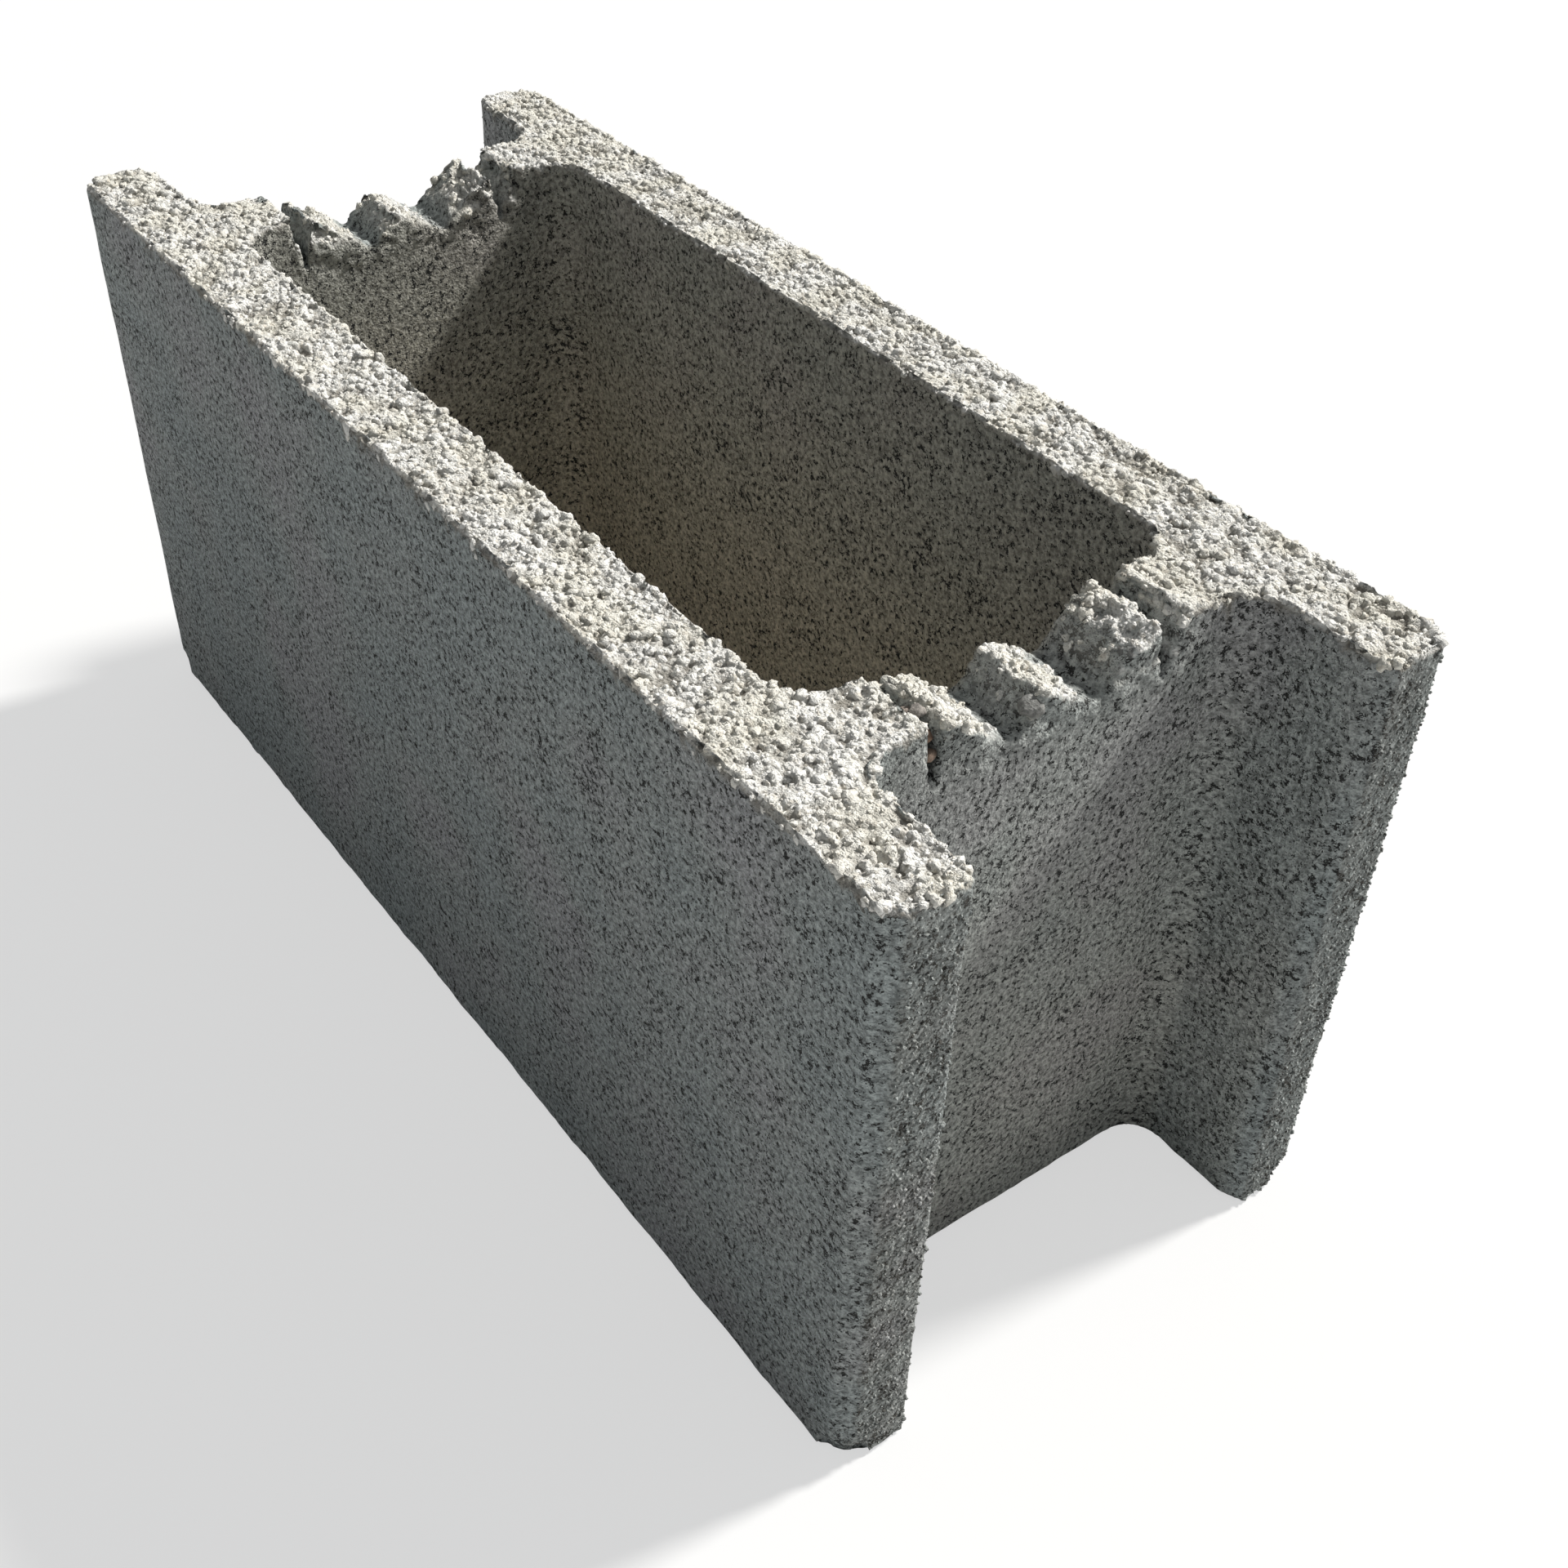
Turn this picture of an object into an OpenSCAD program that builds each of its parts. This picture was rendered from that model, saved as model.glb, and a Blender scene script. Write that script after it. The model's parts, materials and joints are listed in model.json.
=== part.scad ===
// Formwork block: a hollow concrete block laid dry and filled with poured concrete.
// Two long side shells are joined by two cross webs. The webs stand back from the ends,
// so two blocks laid end to end close a second cell between them. The top of each web is
// notched with teeth, and the valleys between the teeth seat the level reinforcing bars.
// Millimetres, +Z up, X along the wall, Y across it, origin at the bottom centre.

/* [Overall size] */
// length of the block along the wall
block_length = 500; // [440:10:600]
// width of the block across the wall
block_width = 200; // [190:5:300]
// height of the block, one course
block_height = 230; // [190:5:250]

/* [Shells and webs] */
// thickness of a side shell beside the middle cell
shell_thickness = 30; // [25:1:34]
// thickness of a side shell beside an end recess
end_shell_thickness = 28; // [23:1:32]
// thickness of a cross web
web_thickness = 28; // [22:1:36]
// distance a web stands back from the end of the block
web_setback = 50; // [40:1:60]

/* [Upright corners] */
// radius of the four corners inside the middle cell
cell_corner_radius = 15; // [5:1:20]
// radius of the corners where an end recess meets its web
recess_corner_radius = 13; // [5:1:18]
// leg of the chamfer on the four outer upright edges
outer_chamfer = 6; // [2:0.5:9]
// widening of each side of a recess mouth, measured across the block
mouth_flare = 3.5; // [1:0.5:8]
// depth of the widened mouth, measured from the end of the block
mouth_flare_depth = 8; // [3:0.5:14]

/* [Bar seats in the web tops] */
// distance of the front edge of the notched strip from the centre line
notch_front = 47; // [47:0.5:52]
// distance of the back edge of the notched strip from the centre line
notch_back = 45.5; // [44:0.5:50]
// depth of a valley below the top of the block
valley_depth = 18.5; // [14:0.5:24]
// distance of a valley from the centre line
valley_offset = 15.5; // [14:0.5:17]
// width of the flat floor of a valley
valley_floor = 3; // [1:0.5:4]
// distance of the middle tooth from the centre line, towards the front shell
middle_tooth_offset = 5; // [2:0.5:6]
// width of the flat on the middle tooth
middle_tooth_flat = 4; // [2:0.5:6]
// depth of the middle tooth below the top of the block
middle_tooth_drop = 7; // [4:0.5:10]
// distance of the crest of the front tooth from the centre line
front_crest = 37.5; // [34:0.5:38]
// depth of the crest of the front tooth below the top of the block
front_crest_drop = 2.5; // [1:0.5:6]
// distance of the shoulder of the back tooth from the centre line
back_shoulder = 25.5; // [22:0.5:28]
// depth of the shoulder of the back tooth below the top of the block
back_shoulder_drop = 6.5; // [5:0.5:10]
// distance of the crest of the back tooth from the centre line
back_crest = 33; // [30:0.5:34]
// depth of the crest of the back tooth below the top of the block
back_crest_drop = 1.5; // [1:0.5:4]
// distance of the slot beside the front tooth from the centre line
front_slot = 44; // [42:0.5:45]
// distance of the slot beside the back tooth from the centre line
back_slot = 40; // [38:0.5:42]
// depth of the slots below the top of the block
slot_depth = 21; // [12:0.5:26]
// width of the slots at their bottom
slot_floor = 2; // [1:0.25:3]
// lean of the tooth's side of a slot
slot_lean = 1.5; // [0.5:0.25:2]

/* [Hidden] */
$fn = 96;

half_length = block_length / 2;
half_width = block_width / 2;
cell_half_width = half_width - shell_thickness;
recess_half_width = half_width - end_shell_thickness;
web_outer_x = half_length - web_setback;
web_inner_x = web_outer_x - web_thickness;
valley_z = block_height - valley_depth;
middle_tooth_z = block_height - middle_tooth_drop;
front_crest_z = block_height - front_crest_drop;
back_shoulder_z = block_height - back_shoulder_drop;
back_crest_z = block_height - back_crest_drop;
slot_z = block_height - slot_depth;
// cutters run this far past the faces they open
overrun = 2;

// plan of the block with its four outer upright edges chamfered
module outer_plan() {
  polygon([
    [half_length - outer_chamfer, -half_width],
    [half_length, -half_width + outer_chamfer],
    [half_length, half_width - outer_chamfer],
    [half_length - outer_chamfer, half_width],
    [-half_length + outer_chamfer, half_width],
    [-half_length, half_width - outer_chamfer],
    [-half_length, -half_width + outer_chamfer],
    [-half_length + outer_chamfer, -half_width]
  ]);
}

// rectangle with four round corners, centred on the origin
module rounded_rectangle(half_x, half_y, radius) {
  square([2 * (half_x - radius), 2 * half_y], center = true);
  square([2 * half_x, 2 * (half_y - radius)], center = true);
  for (sign_x = [-1, 1])
    for (sign_y = [-1, 1])
      translate([sign_x * (half_x - radius), sign_y * (half_y - radius)])
        circle(r = radius);
}

// plan of the middle cell
module cell_plan() {
  rounded_rectangle(web_inner_x, cell_half_width, cell_corner_radius);
}

// plan of the recess at the +X end, round at the web and flared at the mouth
module recess_plan() {
  round_x = web_outer_x + recess_corner_radius;
  round_y = recess_half_width - recess_corner_radius;
  mouth_x = half_length + overrun;
  translate([round_x, -recess_half_width])
    square([mouth_x - round_x, 2 * recess_half_width]);
  translate([web_outer_x, -round_y])
    square([mouth_x - web_outer_x, 2 * round_y]);
  for (sign_y = [-1, 1])
    translate([round_x, sign_y * round_y])
      circle(r = recess_corner_radius);
  polygon([
    [half_length - mouth_flare_depth, -recess_half_width],
    [half_length, -recess_half_width - mouth_flare],
    [mouth_x, -recess_half_width - mouth_flare],
    [mouth_x, recess_half_width + mouth_flare],
    [half_length, recess_half_width + mouth_flare],
    [half_length - mouth_flare_depth, recess_half_width]
  ]);
}

// outline of what is cut from the top of a web, in Y and Z, from the front shell to the back
module notch_profile() {
  top_z = block_height + overrun;
  half_flat = middle_tooth_flat / 2;
  half_valley = valley_floor / 2;
  half_slot = slot_floor / 2;
  polygon([
    [-notch_front, top_z],
    [-notch_front, block_height],
    [-front_slot - half_slot, slot_z],
    [-front_slot + half_slot, slot_z],
    [-front_slot + half_slot + slot_lean, front_crest_z],
    [-front_crest, front_crest_z],
    [-valley_offset - half_valley, valley_z],
    [-valley_offset + half_valley, valley_z],
    [-middle_tooth_offset - half_flat, middle_tooth_z],
    [-middle_tooth_offset + half_flat, middle_tooth_z],
    [valley_offset - half_valley, valley_z],
    [valley_offset + half_valley, valley_z],
    [back_shoulder, back_shoulder_z],
    [back_crest, back_crest_z],
    [back_slot - half_slot - slot_lean, back_crest_z],
    [back_slot - half_slot, slot_z],
    [back_slot + half_slot, slot_z],
    [notch_back, block_height],
    [notch_back, top_z]
  ]);
}

// the toothed strip cut across the top of the web nearer +X
module web_notch() {
  translate([web_inner_x - overrun, 0, 0])
    rotate([90, 0, 90])
      linear_extrude(height = web_thickness + 2 * overrun)
        notch_profile();
}

// the whole block, cast in one piece
module formwork_block() {
  color([0.62, 0.61, 0.58])
    difference() {
      linear_extrude(height = block_height)
        difference() {
          outer_plan();
          cell_plan();
          recess_plan();
          mirror([1, 0]) recess_plan();
        }
      web_notch();
      mirror([1, 0, 0]) web_notch();
    }
}

formwork_block();
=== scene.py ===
"""Looks of a formwork block: rough pressed concrete with crumbling tops and toothed webs."""

import json
import math

import bpy
import numpy as np
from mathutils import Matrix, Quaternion, Vector

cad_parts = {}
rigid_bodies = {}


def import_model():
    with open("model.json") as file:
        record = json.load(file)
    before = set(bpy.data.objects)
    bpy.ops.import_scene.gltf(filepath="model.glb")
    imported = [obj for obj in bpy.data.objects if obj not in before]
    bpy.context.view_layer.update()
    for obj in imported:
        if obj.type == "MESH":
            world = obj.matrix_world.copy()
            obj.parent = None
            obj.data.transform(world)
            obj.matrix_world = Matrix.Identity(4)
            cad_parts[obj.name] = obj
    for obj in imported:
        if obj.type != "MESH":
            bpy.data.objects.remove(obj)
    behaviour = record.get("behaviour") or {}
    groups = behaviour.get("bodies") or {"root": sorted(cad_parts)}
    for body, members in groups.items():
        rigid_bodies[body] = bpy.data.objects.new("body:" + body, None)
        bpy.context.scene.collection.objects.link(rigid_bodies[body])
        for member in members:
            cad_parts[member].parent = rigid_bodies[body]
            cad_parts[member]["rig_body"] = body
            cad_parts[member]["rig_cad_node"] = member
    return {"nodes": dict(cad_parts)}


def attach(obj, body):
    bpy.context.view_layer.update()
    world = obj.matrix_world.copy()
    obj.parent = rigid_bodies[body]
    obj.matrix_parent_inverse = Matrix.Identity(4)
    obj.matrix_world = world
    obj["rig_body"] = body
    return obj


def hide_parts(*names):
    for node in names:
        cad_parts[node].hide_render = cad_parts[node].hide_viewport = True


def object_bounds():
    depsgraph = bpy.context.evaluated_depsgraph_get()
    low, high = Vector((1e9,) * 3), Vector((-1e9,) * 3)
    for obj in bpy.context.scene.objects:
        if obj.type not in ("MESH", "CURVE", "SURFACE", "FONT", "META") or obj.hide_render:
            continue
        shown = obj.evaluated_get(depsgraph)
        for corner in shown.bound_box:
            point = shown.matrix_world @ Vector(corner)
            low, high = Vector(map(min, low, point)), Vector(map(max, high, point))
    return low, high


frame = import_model()
cad_low, cad_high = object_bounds()

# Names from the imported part
BLOCK_NODE = "formwork_block"
BODY = "root"

# Sizes of the cast skin, in metres
MM = 0.001
VOXEL = 1.1 * MM
ARRIS_ROUND = 0.7 * MM
CORNER_WEAR = 11 * MM
BLOCK_TRIANGLES = 190000
TOP = cad_high.z
# The floor lies this much lower, clear of the block's underside
FLOOR_GAP = 0.05 * MM

# Where the webs and their toothed tops stand
WEB_OUTER = 200 * MM
WEB_INNER = 172 * MM
CELL_FACE = 70 * MM
RECESS_FACE = 72 * MM
TEETH_REACH = 48 * MM
TEETH_LOW = TOP - 23 * MM
# Heights at which the wear of the far web's teeth begins and is in full
WEAR_FROM = TOP - 15 * MM
WEAR_FULL = TOP - 7 * MM

# Heights at which the broken tops and the crests of the teeth begin and are in full
BROKEN_FROM = TOP - 5 * MM
BROKEN_FULL = TOP - 3.5 * MM
CREST_FROM = TOP - 17 * MM
CREST_FULL = TOP - 11 * MM
# Distance from the middle at which the rough ends of the shells begin and are in full
END_FROM = 238 * MM
END_FULL = 243 * MM
# Parts of a normal between which a face begins to count and counts in full: as facing up or
# to the front, as an end, as an edge, as level, as a bed for stones and as the top of a stone
FACES_UP = (0.1, 0.45)
FACES_FRONT = (0.35, 0.65)
FACES_END = (0.7, 0.88)
EDGE_BEGINS = (0.1, 0.4)
EDGE_STOPS = (0.93, 0.99)
LIES_LEVEL = (0.75, 0.97)
BEARS_STONES = (0.25, 0.6)
STONE_TOP = (-0.1, 0.5)
# Share of the broken look that the moulded front sides of the teeth lose
MOULDED_LOSS = 0.75
# Share of the full sinking at the outer faces, and the width over which it grows
RIM_SINK = 0.25
RIM_WIDTH = 3 * MM
# Share of the fine mesh that the ends keep beside the broken tops
END_FINENESS = 0.6
# Reach past a web's faces that still counts as its teeth
TEETH_MARGIN = 2 * MM
# Height under which a wall keeps its level foot
LEVEL_FOOT = 1.5 * MM
# Height of the strip along an edge that crumbles
EDGE_STRIP = 5 * MM

# Crumbling: name, vertex group, lump size, noise depth, contrast, strength, middle level
CRUMBLES = (
    ("wall_wave", "walls", 30 * MM, 2, 1.0, 0.9 * MM, 0.5),
    ("end_crumble", "ends", 5 * MM, 2, 1.0, 1.5 * MM, 0.6),
    ("tooth_break", "teeth", 7 * MM, 3, 1.0, 2.4 * MM, 0.5),
    ("tooth_crumb", "teeth", 3 * MM, 2, 1.0, 1.3 * MM, 0.5),
    ("far_wear", "far_teeth", 10 * MM, 2, 1.4, 5.5 * MM, 0.8),
    ("top_chips", "top_edge", 7 * MM, 3, 1.8, 1.8 * MM, 0.85),
    ("bed_chips", "bed_edge", 12 * MM, 2, 1.5, 2.5 * MM, 0.9),
)
# Sinking of the broken tops, in the same columns
SINKS = (
    ("sunk_bed", "sunk", 9 * MM, 2, 1.6, 2.0 * MM, 1.0),
    ("gaps", "broken", 4.0 * MM, 4, 2.6, 1.6 * MM, 0.75),
)
# Strewing: spacing, smallest and largest size, rarity of large ones, lift as a share of size
STONES = (2.4 * MM, 1.6 * MM, 5.2 * MM, 3, -0.1)
GRIT = (1.7 * MM, 0.6 * MM, 1.7 * MM, 2, 0.0)
END_GRIT = (1.5 * MM, 0.8 * MM, 2.0 * MM, 2, 0.05)
# Grains to copy: rings of the sphere, share of faces kept, knock out of round, count, seed
STONE_SHAPES = (2, 0.6, 0.14, 8, 11)
CRUMB_SHAPES = (1, 1.0, 0.16, 6, 31)

# Pressing of the tops: depth it reaches, height it starts at, shares of overshoot it leaves
PRESS_REACH = 8 * MM
PRESS_LEVEL = TOP - 0.3 * MM
KEEP_TOP = 0.3
KEEP_OUTER = 0.15
KEEP_INNER = 0.6
# Straight runs of the inner faces: the cell's half length and the start of a recess
CELL_STRAIGHT = 150 * MM
RECESS_STRAIGHT = 215 * MM

# How far the ends of the shells take the colour of the broken tops: partly their paler broken grain,
# partly painted light for the grazing light on them
END_PALE_GRAIN_AND_LIGHT = 0.22

# Stones that lie loose on the near web: place, size and share of brown
LOOSE_STONES = (
    ((197.8, -8.8, 218.8), 7.4, 0.0),
    ((190.0, -43.2, 226.5), 4.6, 0.2),
    ((194.5, -43.8, 221.8), 4.2, 1.0),
    ((197.0, -44.6, 217.6), 4.4, 0.8),
    ((185.5, -43.6, 223.5), 4.8, 0.4),
)

# Camera at the photograph's place, fitted to the block's corners
CAMERA_PLACE = Vector((0.4729, -0.3055, 0.5180))
CAMERA_AIM = Vector((0.0800, 0.0, 0.1068))
CAMERA_ROLL = math.radians(2.425)
CAMERA_LENS = 42.91
SENSOR = 36.0

# Studio: the key lamp, the pale surround and the floor
KEY_PLACE = Vector((0.45, 3.0, 3.1))
KEY_AIM = Vector((0, 0, 0.1))
KEY_SPREAD = math.radians(7)
KEY_STRENGTH = 5.3
KEY_COLOUR = (1.0, 0.98, 0.94)
SURROUND_COLOUR = (0.96, 0.99, 1, 1)
SURROUND_STRENGTH = 0.28
FLOOR_SIZE = 30
FLOOR_GREY = (0.7, 0.7, 0.7, 1)
FLOOR_ROUGHNESS = 0.9
# Share of plain white in the floor as it is seen
FLOOR_WHITE = 0.6

# Dull surface of all the concrete, and relief too fine for the mesh
DULLNESS = 0.95
GLINT = 0.2
CONCRETE_RELIEF = 1.5 * MM
STONE_RELIEF = 0.8 * MM
# Pores: bend of their outlines, step from closed to open, softness of their edges
PORE_BEND = 1.4 * MM
PORE_STEP = 0.2
PORE_EDGE = 0.14

# Colours of the concrete, linear; among them are painted bounce light and painted shade
PASTE_GREY = (0.305, 0.322, 0.315, 1)
PASTE_COOL = (0.262, 0.297, 0.30, 1)
PASTE_LILAC = (0.30, 0.30, 0.318, 1)
# Painted bounce light: warm light thrown about inside the cell, put into the colour there
CELL_PAINTED_BOUNCE = (0.62, 0.55, 0.43, 1)
BROKEN_CREAM = (0.70, 0.682, 0.62, 1)
BROKEN_WHITE = (0.76, 0.754, 0.73, 1)
BROKEN_SAND = (0.50, 0.46, 0.39, 1)
# Painted shade: the dark that fills the open pores
PORE_PAINTED_SHADE = (0.03, 0.031, 0.03, 1)
# Painted shade: the dark in the pits of the grains on the broken tops
PIT_PAINTED_SHADE = (0.16, 0.15, 0.13, 1)
# Painted shade: the dark in the gaps between the stones of the broken bed
GAP_PAINTED_SHADE = (0.17, 0.155, 0.13, 1)
STONE_GREY = (0.24, 0.24, 0.23, 1)
STONE_BROWN = (0.30, 0.205, 0.15, 1)


def pick(thing):
    """Makes one object the only selected and active one."""
    bpy.ops.object.select_all(action="DESELECT")
    thing.select_set(True)
    bpy.context.view_layer.objects.active = thing


def apply_modifier(thing, name):
    """Applies one modifier of an object to its mesh."""
    pick(thing)
    bpy.ops.object.modifier_apply(modifier=name)


def remesh(thing, voxel):
    """Fuses an object's mesh into one even closed skin."""
    modifier = thing.modifiers.new("even_mesh", "REMESH")
    modifier.mode = "VOXEL"
    modifier.voxel_size = voxel
    apply_modifier(thing, "even_mesh")


def copy_cad_block():
    """Copies the CAD block's mesh, merges its loose triangles and rounds its edges a little."""
    pick(frame["nodes"][BLOCK_NODE])
    bpy.ops.object.duplicate()
    block = bpy.context.active_object
    block.name = "cast_block"
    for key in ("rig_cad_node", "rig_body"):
        del block[key]
    block.parent = None
    block.data.materials.clear()
    bpy.ops.object.mode_set(mode="EDIT")
    bpy.ops.mesh.select_all(action="SELECT")
    bpy.ops.mesh.remove_doubles(threshold=0.01 * MM)
    bpy.ops.mesh.dissolve_limited(angle_limit=math.radians(0.5))
    bpy.ops.object.mode_set(mode="OBJECT")
    bevel = block.modifiers.new("arris", "BEVEL")
    bevel.width = ARRIS_ROUND
    bevel.segments = 2
    bevel.limit_method = "ANGLE"
    bevel.angle_limit = math.radians(40)
    apply_modifier(block, "arris")
    remesh(block, VOXEL)
    wear_corners(block)
    return block


def vertex_arrays(thing):
    """Places and normals of a mesh's vertices."""
    count = len(thing.data.vertices)
    places = np.empty(count * 3, dtype=np.float32)
    normals = np.empty(count * 3, dtype=np.float32)
    thing.data.vertices.foreach_get("co", places)
    thing.data.vertices.foreach_get("normal", normals)
    return places.reshape(-1, 3), normals.reshape(-1, 3)


def move_vertices(thing, places):
    """Puts a mesh's vertices at new places."""
    thing.data.vertices.foreach_set("co", places.astype(np.float32).ravel())
    thing.data.update()


def wear_corners(block):
    """Rounds the four bottom corners, which wear first where the block is set down."""
    places, normals = vertex_arrays(block)
    middle = np.array((cad_high.x - CORNER_WEAR, cad_high.y - CORNER_WEAR, CORNER_WEAR))
    outward = np.abs(places) * (1, 1, -1) - middle * (1, 1, -1)
    reach = np.linalg.norm(outward, axis=1)
    worn = (outward > 0).all(axis=1) & (reach > CORNER_WEAR)
    inward = 1 - CORNER_WEAR / np.maximum(reach, CORNER_WEAR)
    signs = np.where(places < 0, -1, 1) * (1, 1, -1)
    places -= np.where(worn, inward, 0)[:, None] * outward * signs
    move_vertices(block, places)


def fill_group(thing, name, weights, steps=10):
    """Makes a vertex group from weights of 0 to 1, rounded to a few steps."""
    old = thing.vertex_groups.get(name)
    if old:
        thing.vertex_groups.remove(old)
    group = thing.vertex_groups.new(name=name)
    levels = np.rint(np.clip(weights, 0, 1) * steps).astype(int)
    for level in range(1, steps + 1):
        members = np.nonzero(levels == level)[0]
        if len(members):
            group.add(members.tolist(), level / steps, "REPLACE")


def smooth_step(low, high, values):
    """Rises smoothly from 0 at low to 1 at high."""
    share = np.clip((values - low) / (high - low), 0, 1)
    return share * share * (3 - 2 * share)


def cloud_texture(name, size, depth, contrast):
    """Soft noise whose lumps are about the given size."""
    texture = bpy.data.textures.new(name, "CLOUDS")
    texture.noise_scale = size
    texture.noise_depth = depth
    texture.contrast = contrast
    return texture


def displace(thing, texture, strength, mid_level, group):
    """Moves a mesh along its normals by a texture, where a vertex group says."""
    modifier = thing.modifiers.new(texture.name, "DISPLACE")
    modifier.texture = texture
    modifier.texture_coords = "LOCAL"
    modifier.strength = strength
    modifier.mid_level = mid_level
    modifier.vertex_group = group
    apply_modifier(thing, modifier.name)


def crumble(thing, rows):
    """Displaces a mesh by each row of a table in turn."""
    for name, group, lump, depth, contrast, strength, middle in rows:
        displace(thing, cloud_texture(name, lump, depth, contrast), strength, middle, group)


def in_teeth(places):
    """1 where a vertex belongs to the toothed top of a web."""
    along = np.abs(places[:, 0])
    beside = (along > WEB_INNER - TEETH_MARGIN) & (along < WEB_OUTER + TEETH_MARGIN)
    return beside & (np.abs(places[:, 1]) < TEETH_REACH) & (places[:, 2] > TEETH_LOW)


def broken_weights(places, normals):
    """How far each vertex belongs to the broken, open-grained top of the block."""
    top = smooth_step(BROKEN_FROM, BROKEN_FULL, places[:, 2])
    facing = smooth_step(*FACES_UP, normals[:, 2])
    crest = smooth_step(CREST_FROM, CREST_FULL, places[:, 2])
    moulded = 1 - MOULDED_LOSS * smooth_step(*FACES_FRONT, -normals[:, 1])
    teeth = in_teeth(places) * crest * moulded
    return np.maximum(top, teeth) * facing


def end_weights(places, normals):
    """How far each vertex belongs to the rough ends of the side shells."""
    at_end = smooth_step(END_FROM, END_FULL, np.abs(places[:, 0]))
    return at_end * smooth_step(*FACES_END, np.abs(normals[:, 0]))


def chip_edges(block):
    """Crumbles the top edges, the teeth and the bottom edges."""
    places, normals = vertex_arrays(block)
    up = normals[:, 2]
    high = places[:, 2] > TOP - EDGE_STRIP
    low = places[:, 2] < EDGE_STRIP
    top_edge = smooth_step(*EDGE_BEGINS, up) * (1 - smooth_step(*EDGE_STOPS, up)) * high
    bed_edge = smooth_step(*EDGE_BEGINS, -up) * (1 - smooth_step(*EDGE_STOPS, -up)) * low
    fill_group(block, "top_edge", top_edge)
    fill_group(block, "bed_edge", bed_edge)
    fill_group(block, "teeth", in_teeth(places).astype(float))
    worn = in_teeth(places) * smooth_step(WEAR_FROM, WEAR_FULL, places[:, 2])
    fill_group(block, "far_teeth", worn * (places[:, 0] < 0))
    fill_group(block, "ends", end_weights(places, normals))
    above_foot = places[:, 2] > LEVEL_FOOT
    fill_group(block, "walls", (1 - broken_weights(places, normals)) * above_foot)
    crumble(block, CRUMBLES)


def grain_shapes(name, rings, thinning, knock, count, seed):
    """A few rough grains of unit size and few faces, each knocked out of round in its own way."""
    shapes = bpy.data.collections.new(name)
    bpy.context.scene.collection.children.link(shapes)
    draw = np.random.default_rng(seed)
    for number in range(count):
        bpy.ops.object.select_all(action="DESELECT")
        bpy.ops.mesh.primitive_ico_sphere_add(subdivisions=rings, radius=0.5)
        grain = bpy.context.active_object
        grain.name = f"{name}_{number}"
        bpy.ops.object.mode_set(mode="EDIT")
        bpy.ops.mesh.select_all(action="SELECT")
        bpy.ops.transform.resize(value=tuple(draw.uniform(0.7, 1.2, 3)))
        bpy.ops.transform.vertex_random(offset=knock, uniform=1.0, normal=0.4, seed=seed + number)
        bpy.ops.object.mode_set(mode="OBJECT")
        fewer = grain.modifiers.new("fewer_faces", "DECIMATE")
        fewer.ratio = thinning
        apply_modifier(grain, "fewer_faces")
        for home in list(grain.users_collection):
            home.objects.unlink(grain)
        shapes.objects.link(grain)
    return shapes


def drop_shapes(shapes):
    """Deletes the grains that were only there to be copied."""
    bpy.ops.object.select_all(action="DESELECT")
    for grain in shapes.objects:
        grain.select_set(True)
    bpy.ops.object.delete()
    bpy.data.collections.remove(shapes)


def add_node(tree, kind, **values):
    """A geometry node with some of its sockets set or linked."""
    node = tree.nodes.new(kind)
    for name, value in values.items():
        socket = node.inputs[name.replace("_", " ")]
        if isinstance(value, bpy.types.NodeSocket):
            tree.links.new(value, socket)
        else:
            socket.default_value = value
    return node


def random_node(tree, kind, low, high, seed):
    """A random value for each point."""
    node = tree.nodes.new("FunctionNodeRandomValue")
    node.data_type = kind
    live = [socket for socket in node.inputs if socket.enabled]
    live[0].default_value = low
    live[1].default_value = high
    node.inputs["Seed"].default_value = seed
    return next(socket for socket in node.outputs if socket.enabled)


def math_node(tree, operation, first, second):
    """A math node on two numbers or sockets."""
    node = tree.nodes.new("ShaderNodeMath")
    node.operation = operation
    for socket, value in zip(node.inputs, (first, second)):
        if isinstance(value, bpy.types.NodeSocket):
            tree.links.new(value, socket)
        else:
            socket.default_value = value
    return node.outputs[0]


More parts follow.
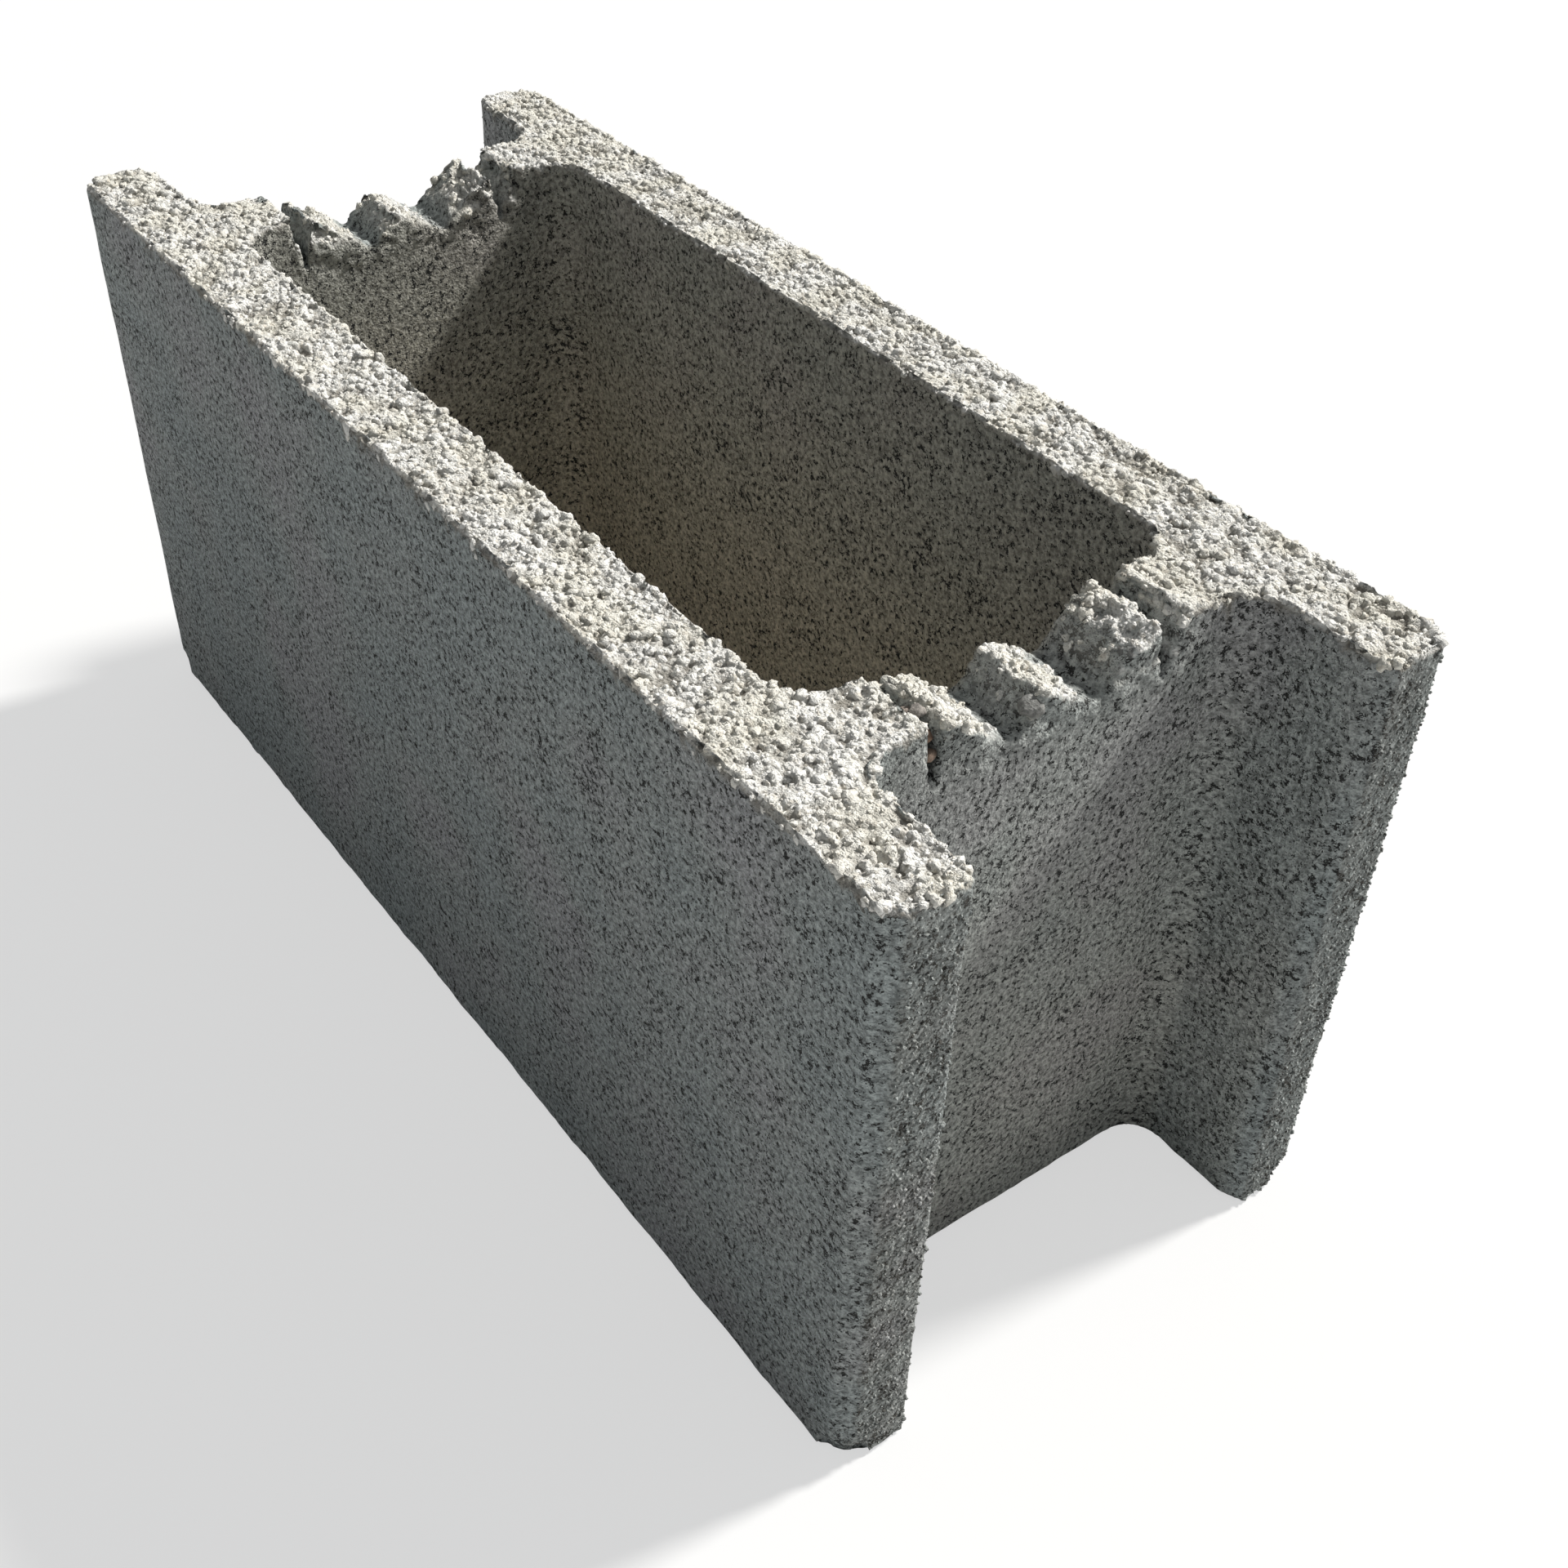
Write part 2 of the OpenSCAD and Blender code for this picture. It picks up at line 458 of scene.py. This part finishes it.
def scatter(base, name, shapes, group, spacing, small, large, tail, lift, seed):
    """Packs grains over the part of a base mesh that a vertex group names, few of them large."""
    pick(base)
    bpy.ops.object.duplicate()
    grains = bpy.context.active_object
    grains.data.materials.clear()
    grains.name = name
    tree = bpy.data.node_groups.new(name, "GeometryNodeTree")
    tree.interface.new_socket("Geometry", in_out="INPUT", socket_type="NodeSocketGeometry")
    tree.interface.new_socket("Geometry", in_out="OUTPUT", socket_type="NodeSocketGeometry")
    entry = tree.nodes.new("NodeGroupInput").outputs["Geometry"]
    leave = tree.nodes.new("NodeGroupOutput").inputs["Geometry"]

    weight = add_node(tree, "GeometryNodeInputNamedAttribute", Name=group).outputs["Attribute"]
    points = tree.nodes.new("GeometryNodeDistributePointsOnFaces")
    points.distribute_method = "POISSON"
    points.inputs["Distance Min"].default_value = spacing
    points.inputs["Density Max"].default_value = 2.5 / spacing**2
    points.inputs["Seed"].default_value = seed
    tree.links.new(entry, points.inputs["Mesh"])
    tree.links.new(weight, points.inputs["Density Factor"])
    draw = math_node(tree, "POWER", random_node(tree, "FLOAT", 0.0, 1.0, seed + 1), tail)
    size = math_node(tree, "ADD", math_node(tree, "MULTIPLY", draw, large - small), small)
    rise = tree.nodes.new("ShaderNodeVectorMath")
    rise.operation = "SCALE"
    tree.links.new(points.outputs["Normal"], rise.inputs[0])
    tree.links.new(math_node(tree, "MULTIPLY", size, lift), rise.inputs["Scale"])
    placed = add_node(
        tree, "GeometryNodeSetPosition", Geometry=points.outputs["Points"], Offset=rise.outputs[0]
    )
    turn = random_node(tree, "FLOAT_VECTOR", (0, 0, 0), (math.tau, math.tau, math.tau), seed + 2)
    which = random_node(tree, "INT", 0, len(shapes.objects) - 1, seed + 3)
    source = add_node(
        tree, "GeometryNodeCollectionInfo", Collection=shapes, Separate_Children=True, Reset_Children=True
    )
    copies = add_node(
        tree,
        "GeometryNodeInstanceOnPoints",
        Points=placed.outputs["Geometry"],
        Instance=source.outputs["Instances"],
        Pick_Instance=True,
        Instance_Index=which,
        Rotation=turn,
        Scale=size,
    )
    real = add_node(tree, "GeometryNodeRealizeInstances", Geometry=copies.outputs["Instances"])
    tree.links.new(real.outputs["Geometry"], leave)

    modifier = grains.modifiers.new(name, "NODES")
    modifier.node_group = tree
    apply_modifier(grains, name)
    bpy.ops.object.shade_smooth()
    return grains


def sink_tops(block):
    """Lowers the broken tops unevenly, to make a bed for the stones and grit that lie on them."""
    places, normals = vertex_arrays(block)
    from_face = np.minimum(cad_high.x - np.abs(places[:, 0]), cad_high.y - np.abs(places[:, 1]))
    inside = smooth_step(0, RIM_WIDTH, from_face)
    level = smooth_step(*LIES_LEVEL, normals[:, 2])
    broken = broken_weights(places, normals)
    fill_group(block, "broken", broken)
    depth = RIM_SINK + (1 - RIM_SINK) * inside
    fill_group(block, "sunk", broken * level * depth * ~in_teeth(places))
    crumble(block, SINKS)
    press_tops(block)


def squeeze(values, limit, keep):
    """Brings values past a limit back towards it."""
    return np.where(values > limit, limit + keep * (values - limit), values)


def press_tops(block):
    """Levels the tops as the press plate did, and keeps them within the mould's faces."""
    places, normals = vertex_arrays(block)
    x, y, z = places[:, 0].copy(), places[:, 1].copy(), places[:, 2].copy()
    high = z > TOP - PRESS_REACH
    z = np.maximum(squeeze(z, PRESS_LEVEL, KEEP_TOP), 0)
    outer_x = squeeze(np.abs(x), cad_high.x, KEEP_OUTER)
    outer_y = squeeze(np.abs(y), cad_high.y, KEEP_OUTER)
    x = np.where(high, np.sign(x) * outer_x, x)
    y = np.where(high, np.sign(y) * outer_y, y)
    along = np.abs(x)
    face = np.where(along < CELL_STRAIGHT, CELL_FACE, RECESS_FACE)
    beside = high & ((along < CELL_STRAIGHT) | (along > RECESS_STRAIGHT)) & (np.abs(y) < face)
    y = np.where(beside, np.sign(y) * (face - KEEP_INNER * (face - np.abs(y))), y)
    move_vertices(block, np.stack((x, y, z), axis=1))


def thin_out(block):
    """Brings the block's mesh under its triangle count, keeping the broken parts finest."""
    places, normals = vertex_arrays(block)
    broken = broken_weights(places, normals)
    fill_group(block, "broken", broken)
    fill_group(block, "keep", np.maximum(broken, END_FINENESS * end_weights(places, normals)))
    block.data.calc_loop_triangles()
    thin = block.modifiers.new("thin", "DECIMATE")
    thin.ratio = min(1.0, BLOCK_TRIANGLES / len(block.data.loop_triangles))
    thin.vertex_group = "keep"
    thin.invert_vertex_group = True
    thin.vertex_group_factor = 1.0
    thin.use_collapse_triangulate = True
    apply_modifier(block, "thin")
    pick(block)
    bpy.ops.object.shade_smooth()


def mark_broken(block):
    """Writes the broken parts, and the ends' partly painted light, as an attribute that the material
    reads.
    """
    places, normals = vertex_arrays(block)
    marks = block.data.attributes.new("open_grain_and_end_light", "FLOAT", "POINT")
    # The ends get some of the pale broken colour: partly their open grain, partly painted light
    shares = np.maximum(broken_weights(places, normals), END_PALE_GRAIN_AND_LIGHT * end_weights(places, normals))
    marks.data.foreach_set("value", shares.astype(np.float32))


def new_group(name, inputs, outputs):
    """An empty shader node group with named number, colour and vector sockets."""
    group = bpy.data.node_groups.new(name, "ShaderNodeTree")
    for socket_name, kind, value in inputs:
        socket = group.interface.new_socket(socket_name, in_out="INPUT", socket_type=kind)
        if value is not None:
            socket.default_value = value
    for socket_name, kind in outputs:
        group.interface.new_socket(socket_name, in_out="OUTPUT", socket_type=kind)
    entry = group.nodes.new("NodeGroupInput")
    leave = group.nodes.new("NodeGroupOutput")
    return group, entry.outputs, leave.inputs


def noise(tree, vector, scale, detail, roughness=0.5):
    """A noise node; scale is a number or a socket."""
    node = tree.nodes.new("ShaderNodeTexNoise")
    tree.links.new(vector, node.inputs["Vector"])
    if isinstance(scale, bpy.types.NodeSocket):
        tree.links.new(scale, node.inputs["Scale"])
    else:
        node.inputs["Scale"].default_value = scale
    node.inputs["Detail"].default_value = detail
    node.inputs["Roughness"].default_value = roughness
    return node.outputs["Fac"]


def remap(tree, value, from_low, from_high, to_low=0.0, to_high=1.0):
    """Maps a value smoothly from one range to another; ends are numbers or sockets."""
    node = tree.nodes.new("ShaderNodeMapRange")
    node.interpolation_type = "SMOOTHSTEP"
    ends = (value, from_low, from_high, to_low, to_high)
    names = ("Value", "From Min", "From Max", "To Min", "To Max")
    for name, end in zip(names, ends):
        if isinstance(end, bpy.types.NodeSocket):
            tree.links.new(end, node.inputs[name])
        else:
            node.inputs[name].default_value = end
    return node.outputs["Result"]


def mix_colour(tree, share, first, second, blend="MIX"):
    """Mixes two colours, each a socket or a plain colour."""
    node = tree.nodes.new("ShaderNodeMix")
    node.data_type = "RGBA"
    node.blend_type = blend
    live = [socket for socket in node.inputs if socket.enabled]
    for socket, value in zip(live, (share, first, second)):
        if isinstance(value, bpy.types.NodeSocket):
            tree.links.new(value, socket)
        else:
            socket.default_value = value
    return next(socket for socket in node.outputs if socket.enabled)


def place_group(tree, group, vector, **values):
    """Puts a node group in a material with its own values."""
    node = tree.nodes.new("ShaderNodeGroup")
    node.node_tree = group
    tree.links.new(vector, node.inputs["Vector"])
    for name, value in values.items():
        node.inputs[name].default_value = value
    return node.outputs


def pore_group():
    """Voids left between sand grains where the paste ran short: a mask that is 1 in a void."""
    group, entry, leave = new_group(
        "open_pores",
        [
            ("Vector", "NodeSocketVector", None),
            ("Scale", "NodeSocketFloat", 600.0),
            ("Spread", "NodeSocketFloat", 200.0),
            ("Closed", "NodeSocketFloat", 0.5),
            ("Widest", "NodeSocketFloat", 0.34),
            ("Patches", "NodeSocketFloat", 0.2),
        ],
        [("Mask", "NodeSocketFloat")],
    )
    bend = group.nodes.new("ShaderNodeTexNoise")
    group.links.new(entry["Vector"], bend.inputs["Vector"])
    group.links.new(entry["Scale"], bend.inputs["Scale"])
    bend.inputs["Detail"].default_value = 1.0
    shift = group.nodes.new("ShaderNodeVectorMath")
    shift.operation = "MULTIPLY_ADD"
    group.links.new(bend.outputs["Color"], shift.inputs[0])
    shift.inputs[1].default_value = (PORE_BEND, PORE_BEND, PORE_BEND)
    group.links.new(entry["Vector"], shift.inputs[2])
    grains = group.nodes.new("ShaderNodeTexVoronoi")
    grains.feature = "DISTANCE_TO_EDGE"
    group.links.new(shift.outputs["Vector"], grains.inputs["Vector"])
    group.links.new(entry["Scale"], grains.inputs["Scale"])
    broad = noise(group, entry["Vector"], scale=70.0, detail=2.0)
    patch = math_node(group, "MULTIPLY", broad, entry["Patches"])
    fine = noise(group, entry["Vector"], scale=entry["Spread"], detail=3.0, roughness=0.75)
    open_share = math_node(group, "ADD", fine, patch)
    full = math_node(group, "ADD", entry["Closed"], PORE_STEP)
    width = remap(group, open_share, entry["Closed"], full, -0.02, entry["Widest"])
    inner = math_node(group, "SUBTRACT", width, PORE_EDGE)
    mask = remap(group, grains.outputs["Distance"], inner, width, 1.0, 0.0)
    group.links.new(mask, leave["Mask"])
    return group


def grit_group():
    """Sand in the paste: each small cell has its own shade and stands up a little."""
    group, entry, leave = new_group(
        "sand_grit",
        [("Vector", "NodeSocketVector", None), ("Scale", "NodeSocketFloat", 900.0)],
        [("Shade", "NodeSocketFloat"), ("Height", "NodeSocketFloat")],
    )
    cells = group.nodes.new("ShaderNodeTexVoronoi")
    group.links.new(entry["Vector"], cells.inputs["Vector"])
    group.links.new(entry["Scale"], cells.inputs["Scale"])
    split = group.nodes.new("ShaderNodeSeparateColor")
    group.links.new(cells.outputs["Color"], split.inputs["Color"])
    group.links.new(split.outputs["Red"], leave["Shade"])
    height = math_node(group, "SUBTRACT", 1.0, cells.outputs["Distance"])
    group.links.new(height, leave["Height"])
    return group


def broken_colour(tree, place, grit):
    """Colour of freshly broken, open-grained concrete."""
    patch = noise(tree, place, scale=60.0, detail=1.0)
    colour = mix_colour(tree, remap(tree, patch, 0.35, 0.65), BROKEN_CREAM, BROKEN_WHITE)
    colour = mix_colour(tree, remap(tree, grit["Shade"], 0.7, 1.0, 0.0, 0.6), colour, BROKEN_SAND)
    return colour


def start_material(name):
    """A new material with its tree, shader and Object coordinates."""
    material = bpy.data.materials.new(name)
    material.use_nodes = True
    tree = material.node_tree
    shader = tree.nodes["Principled BSDF"]
    shader.inputs["Roughness"].default_value = DULLNESS
    shader.inputs["Specular IOR Level"].default_value = GLINT
    place = tree.nodes.new("ShaderNodeTexCoord").outputs["Object"]
    return material, tree, shader, place


def add_bump(tree, shader, height, distance):
    """Relief too fine for the mesh."""
    bump = tree.nodes.new("ShaderNodeBump")
    bump.inputs["Strength"].default_value = 1.0
    bump.inputs["Distance"].default_value = distance
    tree.links.new(height, bump.inputs["Height"])
    tree.links.new(bump.outputs["Normal"], shader.inputs["Normal"])


def concrete_material(pores, sand):
    """Grey pressed concrete: paste with open pores and faint tints, broken and pale on top; painted shade
    darkens its pores, the lows of its relief and the gaps of the broken bed, and a painted warm bounce
    light tints the cell.
    """
    material, tree, shader, place = start_material("pressed_concrete")
    split = tree.nodes.new("ShaderNodeSeparateXYZ")
    tree.links.new(place, split.inputs["Vector"])

    pore_mask = place_group(tree, pores, place, Scale=1050.0, Spread=430.0, Closed=0.583, Widest=0.39)
    pore_shade_and_depth = pore_mask["Mask"]
    grit = place_group(tree, sand, place, Scale=1100.0)

    tint = noise(tree, place, scale=18.0, detail=2.0)
    colour = mix_colour(tree, remap(tree, tint, 0.3, 0.7, 0.3, 1.0), PASTE_COOL, PASTE_GREY)
    colour = mix_colour(tree, remap(tree, tint, 0.5, 0.7, 0.0, 0.5), colour, PASTE_LILAC)
    across = math_node(tree, "ABSOLUTE", split.outputs["Y"], 0.0)
    along = math_node(tree, "ABSOLUTE", split.outputs["X"], 0.0)
    # Painted bounce light: a warm tint inside the cell, stronger towards its floor
    within_shells = remap(tree, across, CELL_FACE, CELL_FACE + 4 * MM, 1.0, 0.0)
    within_webs = remap(tree, along, WEB_INNER, WEB_INNER + 4 * MM, 1.0, 0.2)
    deep = remap(tree, split.outputs["Z"], 30 * MM, 225 * MM, 0.85, 0.28)
    painted_bounce_share = math_node(tree, "MULTIPLY", math_node(tree, "MULTIPLY", within_shells, within_webs), deep)
    colour = mix_colour(tree, painted_bounce_share, colour, CELL_PAINTED_BOUNCE)
    rough = noise(tree, place, scale=560.0, detail=3.0, roughness=0.68)
    # Tone that varies at random and follows the relief, so its lows are darker: partly painted shade in
    # the hollows
    colour = mix_colour(tree, 1.0, colour, remap(tree, rough, 0.3, 0.7, 0.5, 1.4), "MULTIPLY")
    # Painted shade: the open pores are darkened where their hollows would be shaded; the same mask also
    # sinks them in the relief
    colour = mix_colour(tree, pore_shade_and_depth, colour, PORE_PAINTED_SHADE)
    marks = tree.nodes.new("ShaderNodeAttribute")
    marks.attribute_name = "open_grain_and_end_light"
    open_grain_and_end_light = marks.outputs["Fac"]
    # Painted shade: the low parts of the bed between the stones, away from the teeth, are darkened
    below = remap(tree, split.outputs["Z"], TOP - 2.6 * MM, TOP - 0.8 * MM, 0.8, 0.0)
    beside_teeth = remap(tree, across, TEETH_REACH - MM, TEETH_REACH + MM)
    gap_shade = math_node(tree, "MULTIPLY", below, beside_teeth)
    bed = mix_colour(tree, gap_shade, broken_colour(tree, place, grit), GAP_PAINTED_SHADE)
    # Pale broken colour where the attribute says; on the ends it is partly painted light
    colour = mix_colour(tree, open_grain_and_end_light, colour, bed)
    tree.links.new(colour, shader.inputs["Base Color"])

    height = math_node(tree, "ADD", rough, math_node(tree, "MULTIPLY", grit["Height"], 0.3))
    height = math_node(tree, "SUBTRACT", height, math_node(tree, "MULTIPLY", pore_shade_and_depth, 0.9))
    add_bump(tree, shader, height, CONCRETE_RELIEF)
    return material


def grit_material(sand):
    """The loose-looking grains of the broken tops, pitted all over, with painted shade in the pits."""
    material, tree, shader, place = start_material("broken_concrete")
    grit = place_group(tree, sand, place, Scale=700.0)
    rough = noise(tree, place, scale=650.0, detail=3.0, roughness=0.7)
    # Painted shade: the lows of the relief are darkened as pits
    pit_shade = remap(tree, rough, 0.3, 0.43, 0.6, 0.0)
    colour = mix_colour(tree, pit_shade, broken_colour(tree, place, grit), PIT_PAINTED_SHADE)
    tree.links.new(colour, shader.inputs["Base Color"])
    add_bump(tree, shader, rough, CONCRETE_RELIEF)
    return material


def stone_material():
    """Loose stones, each grey or brown as its own attribute says."""
    material, tree, shader, place = start_material("loose_stone")
    tint = tree.nodes.new("ShaderNodeAttribute")
    tint.attribute_name = "brown_share"
    colour = mix_colour(tree, tint.outputs["Fac"], STONE_GREY, STONE_BROWN)
    mottle = noise(tree, place, scale=500.0, detail=3.0, roughness=0.7)
    colour = mix_colour(tree, 1.0, colour, remap(tree, mottle, 0.3, 0.7, 0.6, 1.3), "MULTIPLY")
    tree.links.new(colour, shader.inputs["Base Color"])
    add_bump(tree, shader, mottle, STONE_RELIEF)
    return material


def build_loose_stones(material):
    """Stones that stayed on the near web when its teeth were struck."""
    stones = []
    for number, (place, size, brown) in enumerate(LOOSE_STONES):
        bpy.ops.object.select_all(action="DESELECT")
        spot = Vector(place) * MM
        bpy.ops.mesh.primitive_ico_sphere_add(subdivisions=2, radius=size * MM / 2, location=spot)
        stone = bpy.context.active_object
        bpy.ops.object.mode_set(mode="EDIT")
        bpy.ops.mesh.select_all(action="SELECT")
        bpy.ops.transform.resize(value=(0.9, 1.1, 0.8))
        bpy.ops.transform.vertex_random(offset=0.09 * size * MM, uniform=1.0, normal=0.3, seed=number)
        bpy.ops.object.mode_set(mode="OBJECT")
        bpy.ops.object.transform_apply(location=True, rotation=True, scale=True)
        shares = stone.data.attributes.new("brown_share", "FLOAT", "POINT")
        shares.data.foreach_set("value", [brown] * len(stone.data.vertices))
        stones.append(stone)
    bpy.ops.object.select_all(action="DESELECT")
    for stone in stones:
        stone.select_set(True)
    bpy.context.view_layer.objects.active = stones[0]
    bpy.ops.object.join()
    loose = bpy.context.active_object
    loose.name = "loose_stones"
    bpy.ops.object.shade_smooth()
    finish_grit(loose, material)


def build_block(material):
    """Makes the visible block in place of the CAD node."""
    block = copy_cad_block()
    chip_edges(block)
    sink_tops(block)
    thin_out(block)
    mark_broken(block)
    block.data.materials.append(material)
    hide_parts(BLOCK_NODE)
    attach(block, BODY)
    return block


def finish_grit(grit, material):
    """Gives a strewn piece its material and its place on the block."""
    grit.vertex_groups.clear()
    grit.data.materials.clear()
    grit.data.materials.append(material)
    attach(grit, BODY)


def build_grit(block, material, end_material):
    """Stones packed on the broken tops, grit strewn on the stones, and grit on the rough ends."""
    places, normals = vertex_arrays(block)
    bed = broken_weights(places, normals) * smooth_step(*BEARS_STONES, normals[:, 2])
    fill_group(block, "front_bed", bed * (places[:, 1] < 0))
    fill_group(block, "back_bed", bed * (places[:, 1] >= 0))
    ends = end_weights(places, normals) * (places[:, 2] < TOP - 2 * MM) * (normals[:, 2] > -0.5)
    fill_group(block, "ends", ends)

    stones = grain_shapes("stone", *STONE_SHAPES)
    crumbs = grain_shapes("crumb", *CRUMB_SHAPES)
    for name, seed in (("front", 21), ("back", 31)):
        packed = scatter(block, f"{name}_stones", stones, f"{name}_bed", *STONES, seed)
        press_tops(packed)
        places, normals = vertex_arrays(packed)
        fill_group(packed, "upper", smooth_step(*STONE_TOP, normals[:, 2]))
        strewn = scatter(packed, f"{name}_grit", crumbs, "upper", *GRIT, seed + 20)
        press_tops(strewn)
        finish_grit(packed, material)
        finish_grit(strewn, material)
    grit = scatter(block, "end_grit", crumbs, "ends", *END_GRIT, 61)
    press_tops(grit)
    mark_broken(grit)
    finish_grit(grit, end_material)
    drop_shapes(stones)
    drop_shapes(crumbs)


def seen_rays(tree):
    """1 for rays that show the stage: to the camera, by reflection or through glass."""
    path = tree.nodes.new("ShaderNodeLightPath").outputs
    mirrored = math_node(tree, "MAXIMUM", path["Is Glossy Ray"], path["Is Transmission Ray"])
    return math_node(tree, "MAXIMUM", path["Is Camera Ray"], mirrored)


def build_floor():
    """A plain pale floor that runs far past the block."""
    bpy.ops.object.select_all(action="DESELECT")
    bpy.ops.mesh.primitive_plane_add(size=FLOOR_SIZE, location=(0, 0, -FLOOR_GAP))
    floor = bpy.context.active_object
    floor.name = "floor"
    material = bpy.data.materials.new("pale_floor")
    material.use_nodes = True
    tree = material.node_tree
    shader = tree.nodes["Principled BSDF"]
    shader.inputs["Base Color"].default_value = FLOOR_GREY
    shader.inputs["Roughness"].default_value = FLOOR_ROUGHNESS
    glow = tree.nodes.new("ShaderNodeEmission")
    share = math_node(tree, "MULTIPLY", seen_rays(tree), FLOOR_WHITE)
    blend = tree.nodes.new("ShaderNodeMixShader")
    tree.links.new(share, blend.inputs[0])
    tree.links.new(shader.outputs["BSDF"], blend.inputs[1])
    tree.links.new(glow.outputs["Emission"], blend.inputs[2])
    tree.links.new(blend.outputs["Shader"], tree.nodes["Material Output"].inputs["Surface"])
    floor.data.materials.append(material)


def aim_at(thing, target, roll=0.0):
    """Turns a camera or lamp to look at a point."""
    look = (target - thing.location).to_track_quat("-Z", "Y")
    thing.rotation_mode = "QUATERNION"
    thing.rotation_quaternion = look @ Quaternion((0, 0, 1), roll)


def add_lamp(name, place, target, spread, strength):
    """A soft lamp so far off that its light falls the same way all over the block."""
    bpy.ops.object.light_add(type="SUN", location=place)
    lamp = bpy.context.active_object
    lamp.name = name
    lamp.data.angle = spread
    lamp.data.energy = strength
    lamp.data.color = KEY_COLOUR
    aim_at(lamp, target)


def build_light():
    """Soft studio light: a key from behind the back shell and a pale surround."""
    add_lamp("key", KEY_PLACE, KEY_AIM, KEY_SPREAD, KEY_STRENGTH)
    world = bpy.data.worlds.new("studio")
    bpy.context.scene.world = world
    world.use_nodes = True
    tree = world.node_tree
    surround = tree.nodes["Background"]
    surround.inputs["Color"].default_value = SURROUND_COLOUR
    surround.inputs["Strength"].default_value = SURROUND_STRENGTH
    backdrop = tree.nodes.new("ShaderNodeBackground")
    backdrop.inputs["Color"].default_value = (1, 1, 1, 1)
    blend = tree.nodes.new("ShaderNodeMixShader")
    tree.links.new(seen_rays(tree), blend.inputs[0])
    tree.links.new(surround.outputs["Background"], blend.inputs[1])
    tree.links.new(backdrop.outputs["Background"], blend.inputs[2])
    tree.links.new(blend.outputs["Shader"], tree.nodes["World Output"].inputs["Surface"])


def build_camera():
    """The camera at the photograph's viewing angle."""
    bpy.ops.object.camera_add(location=CAMERA_PLACE)
    camera = bpy.context.active_object
    camera.data.lens = CAMERA_LENS
    camera.data.sensor_width = SENSOR
    camera.data.clip_start = 0.01
    aim_at(camera, CAMERA_AIM, CAMERA_ROLL)
    bpy.context.scene.camera = camera


bpy.context.scene.view_settings.view_transform = "Standard"
sand_grains = grit_group()
wall_finish = concrete_material(pore_group(), sand_grains)
cast_block = build_block(wall_finish)
build_grit(cast_block, grit_material(sand_grains), wall_finish)
build_loose_stones(stone_material())
build_floor()
build_light()
build_camera()
